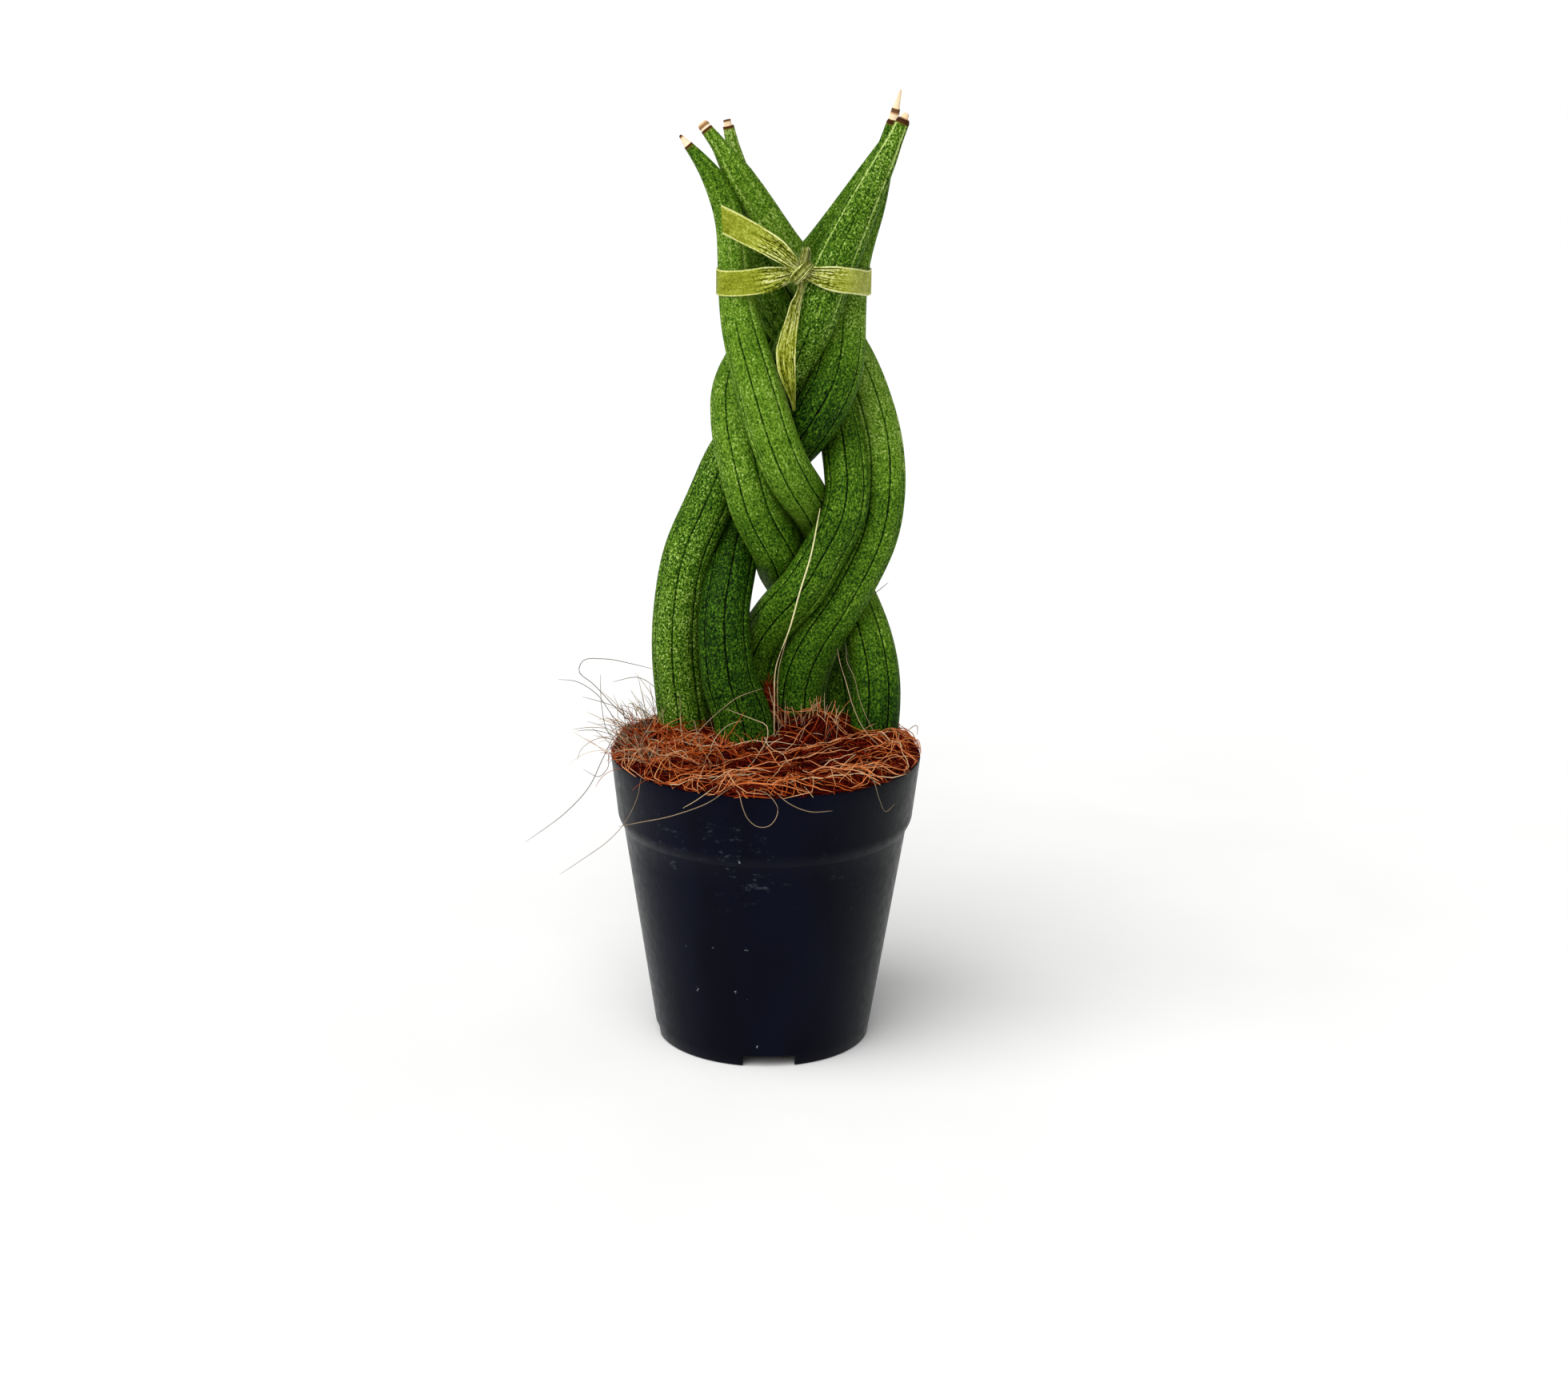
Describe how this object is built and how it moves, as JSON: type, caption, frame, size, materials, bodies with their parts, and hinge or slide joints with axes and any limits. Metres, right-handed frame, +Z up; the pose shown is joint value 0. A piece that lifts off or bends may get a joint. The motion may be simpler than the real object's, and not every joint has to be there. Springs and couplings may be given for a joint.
{
  "type": "cylindrical snake plant",
  "caption": "Young cylindrical snake plant, its spears braided and tied with a narrow ribbon, in a small tapered nursery pot topped with coconut fibre.",
  "frame": {"origin": "centre of the pot's underside, level with what it stands on", "axes": "+Z up the plant; -Y towards its front, where the ribbon's knot is; +X to its right as seen from the front"},
  "size_m": [0.0736, 0.0678, 0.1813],
  "materials": {
    "pot_plastic": "satin",
    "potting_soil": "matte",
    "coir_fibre": "matte",
    "leaf_skin": "satin",
    "satin_ribbon": "satin"
  },
  "bodies": {
    "root": {"pot": "pot_plastic", "soil": "potting_soil", "coir": "coir_fibre", "leaf_a1": "leaf_skin", "leaf_a2": "leaf_skin", "leaf_b1": "leaf_skin", "leaf_b2": "leaf_skin", "leaf_c1": "leaf_skin", "leaf_c2": "leaf_skin", "ribbon": "satin_ribbon"}
  },
  "joints": []
}
